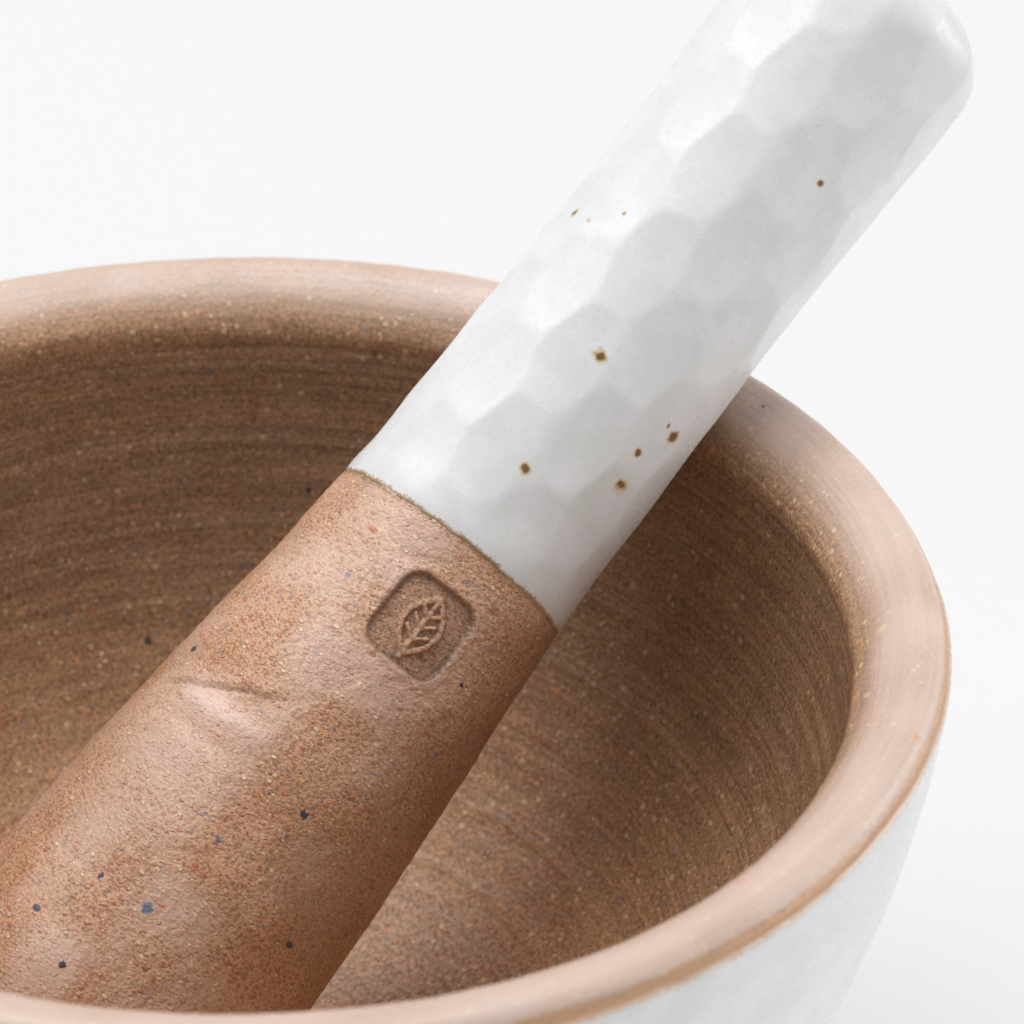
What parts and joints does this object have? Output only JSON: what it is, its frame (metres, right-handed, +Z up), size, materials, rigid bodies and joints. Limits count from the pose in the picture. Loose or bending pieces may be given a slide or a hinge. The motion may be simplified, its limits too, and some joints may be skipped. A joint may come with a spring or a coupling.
{
  "type": "mortar and pestle",
  "caption": "Deep round stoneware bowl with a glazed outside and a bare inside, and a loose clay pestle with a flared head and a glazed grip, leaning across the rim, for grinding.",
  "frame": {"origin": "centre of the bowl's flat foot, on the surface the bowl stands on", "axes": "+Z up along the bowl's axis; +X towards the pestle's grip, which leans over the rim in the XZ plane"},
  "size_m": [0.1714, 0.1428, 0.1283],
  "materials": {
    "bowl_clay": "bare matt stoneware, brown, with cream and orange grog",
    "bowl_glaze": "satin white glaze with faint grey mottling",
    "pestle_clay": "bare matt stoneware, warm pinkish brown, with cream, orange and blue-grey grog",
    "grip_glaze": "satin white glaze with grey mottling and a few iron spots"
  },
  "bodies": {
    "mortar": {"mortar_bowl": "bowl_clay", "mortar_glaze": "bowl_glaze"},
    "pestle": {"pestle_body": "pestle_clay", "pestle_glaze": "grip_glaze"}
  },
  "joints": [
    {"name": "pestle_lift", "type": "slide", "parent": "mortar", "child": "pestle", "axis": [0, 0, 1], "range_m": [0, 0.09]}
  ]
}
